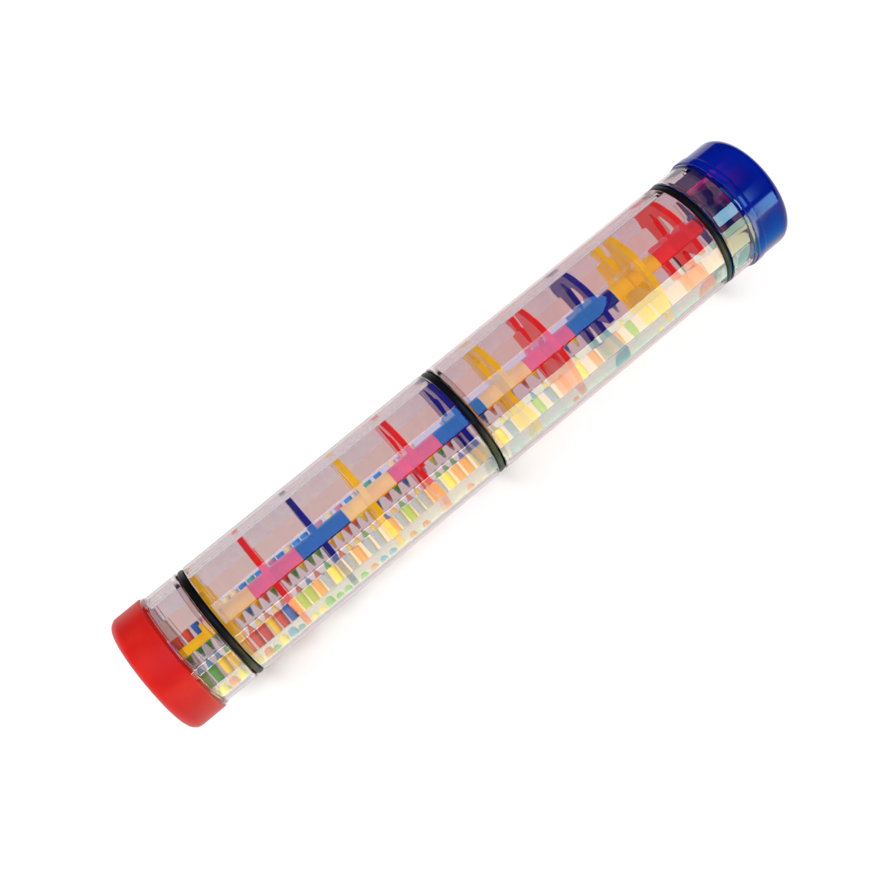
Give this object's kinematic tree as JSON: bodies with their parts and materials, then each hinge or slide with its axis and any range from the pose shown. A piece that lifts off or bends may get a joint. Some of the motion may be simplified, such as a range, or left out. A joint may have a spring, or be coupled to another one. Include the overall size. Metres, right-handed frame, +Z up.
{
  "type": "rain stick",
  "caption": "Clear tube with a red and a blue end cap, black rubber rings, a row of coloured pierced baffles and loose beads that patter through them like rain.",
  "frame": {"origin": "on the floor under the middle of the stick, which lies on its two caps", "axes": "+X along the tube from the red cap to the blue cap, +Z up"},
  "size_m": [0.4, 0.0676, 0.0676],
  "materials": {
    "red_cap_plastic": "satin",
    "blue_cap_plastic": "glossy",
    "clear_plastic": "clear, glossy",
    "black_rubber": "satin",
    "yellow_baffle_plastic": "transparent, glossy",
    "red_baffle_plastic": "transparent, glossy",
    "blue_baffle_plastic": "transparent, glossy",
    "red_bead_plastic": "glossy",
    "blue_bead_plastic": "glossy",
    "green_bead_plastic": "glossy",
    "yellow_bead_plastic": "glossy"
  },
  "bodies": {
    "stick": {"red_cap": "red_cap_plastic", "blue_cap": "blue_cap_plastic", "red_end_cup": "clear_plastic", "blue_end_cup": "clear_plastic", "red_tube": "clear_plastic", "blue_tube": "clear_plastic", "red_end_ring": "black_rubber", "middle_ring": "black_rubber", "blue_end_ring": "black_rubber", "baffle_1_yellow": "yellow_baffle_plastic", "baffle_2_red": "red_baffle_plastic", "baffle_3_blue": "blue_baffle_plastic", "baffle_4_yellow": "yellow_baffle_plastic", "baffle_5_red": "red_baffle_plastic", "baffle_6_blue": "blue_baffle_plastic", "baffle_7_yellow": "yellow_baffle_plastic", "baffle_8_red": "red_baffle_plastic", "baffle_9_blue": "blue_baffle_plastic", "baffle_10_yellow": "yellow_baffle_plastic", "baffle_11_red": "red_baffle_plastic"},
    "beads": {"beads_red": "red_bead_plastic", "beads_blue": "blue_bead_plastic", "beads_green": "green_bead_plastic", "beads_yellow": "yellow_bead_plastic"}
  },
  "joints": [
    {"name": "bead_roll", "type": "hinge", "parent": "stick", "child": "beads", "pos_m": [0, 0, 0.0338], "axis": [1, 0, 0], "continuous": true}
  ]
}
